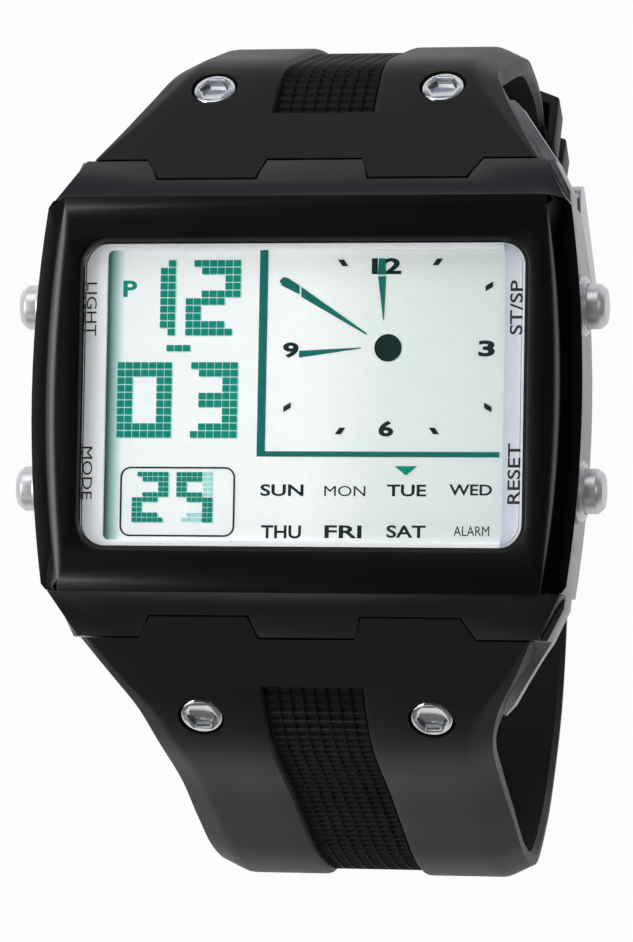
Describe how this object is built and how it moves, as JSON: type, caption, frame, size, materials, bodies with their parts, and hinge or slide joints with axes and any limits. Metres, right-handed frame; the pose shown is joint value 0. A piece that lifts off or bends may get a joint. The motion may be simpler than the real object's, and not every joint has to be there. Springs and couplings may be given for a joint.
{
  "type": "digital wristwatch",
  "caption": "Digital wristwatch, closed as worn: wide bowed bezel over a steel case, press buttons at both sides, and a rubber strap with keepers and a tongue buckle.",
  "frame": {"origin": "centre of the case back's outer face", "axes": "+Z out of the dial, +Y towards twelve o'clock, +X towards three o'clock"},
  "size_m": [0.0542, 0.0796, 0.0744],
  "materials": {
    "bezel_black": "satin",
    "watch_glass": "clear, polished",
    "seal_black": "matte",
    "mask_silver": "satin",
    "display_white": "satin",
    "backlight_green": "matte",
    "zebra_pink": "matte",
    "contact_brass": "satin",
    "frame_white": "matte",
    "board_green": "satin",
    "chip_black": "matte",
    "plain_steel": "plain",
    "case_steel": "brushed",
    "bright_steel": "bright, finely turned",
    "strap_black": "matte",
    "buckle_steel": "brushed"
  },
  "bodies": {
    "case": {"bezel": "bezel_black", "crystal": "watch_glass", "crystal_gasket": "seal_black", "display_mask": "mask_silver", "lcd_panel": "display_white", "backlight_panel": "backlight_green", "zebra_connectors": "zebra_pink", "side_contacts": "contact_brass", "module_frame": "frame_white", "circuit_board": "board_green", "controller_chip": "chip_black", "quartz_crystal": "plain_steel", "coin_cell": "plain_steel", "battery_clip": "plain_steel", "buzzer_disc": "contact_brass", "buzzer_spring": "plain_steel", "mid_case": "case_steel", "case_back": "case_steel", "case_back_gasket": "seal_black", "case_back_screws": "bright_steel", "pusher_sleeves": "case_steel", "pusher_seals": "seal_black", "light_spring": "plain_steel", "mode_spring": "plain_steel", "start_stop_spring": "plain_steel", "reset_spring": "plain_steel", "strap_upper": "strap_black", "strap_lower": "strap_black", "strap_screws": "bright_steel", "fixed_keeper": "strap_black", "spring_bar": "plain_steel"},
    "light_button": {"light_pusher": "bright_steel", "light_clip": "plain_steel"},
    "mode_button": {"mode_pusher": "bright_steel", "mode_clip": "plain_steel"},
    "start_stop_button": {"start_stop_pusher": "bright_steel", "start_stop_clip": "plain_steel"},
    "reset_button": {"reset_pusher": "bright_steel", "reset_clip": "plain_steel"},
    "buckle": {"buckle_frame": "buckle_steel"},
    "tongue": {"buckle_tongue": "buckle_steel"},
    "keeper": {"sliding_keeper": "strap_black"}
  },
  "joints": [
    {"name": "light_press", "type": "slide", "parent": "case", "child": "light_button", "axis": [1, 0, 0], "range_m": [0, 0.0008], "stiffness_N_per_m": 400, "springref_m": -0.001, "deforming": ["light_spring"]},
    {"name": "mode_press", "type": "slide", "parent": "case", "child": "mode_button", "axis": [1, 0, 0], "range_m": [0, 0.0008], "stiffness_N_per_m": 400, "springref_m": -0.001, "deforming": ["mode_spring"]},
    {"name": "start_stop_press", "type": "slide", "parent": "case", "child": "start_stop_button", "axis": [-1, 0, 0], "range_m": [0, 0.0008], "stiffness_N_per_m": 400, "springref_m": -0.001, "deforming": ["start_stop_spring"]},
    {"name": "reset_press", "type": "slide", "parent": "case", "child": "reset_button", "axis": [-1, 0, 0], "range_m": [0, 0.0008], "stiffness_N_per_m": 400, "springref_m": -0.001, "deforming": ["reset_spring"]},
    {"name": "buckle_hinge", "type": "hinge", "parent": "case", "child": "buckle", "pos_m": [0, 0.02452, -0.04817], "axis": [1, 0, 0], "range_deg": [0, 6]},
    {"name": "tongue_hinge", "type": "hinge", "parent": "buckle", "child": "tongue", "pos_m": [0, 0.02452, -0.04817], "axis": [1, 0, 0], "range_deg": [0, 5]},
    {"name": "keeper_slide", "type": "slide", "parent": "case", "child": "keeper", "axis": [0, -0.5289, -0.8487], "range_m": [-0.0012, 0.0016]}
  ]
}
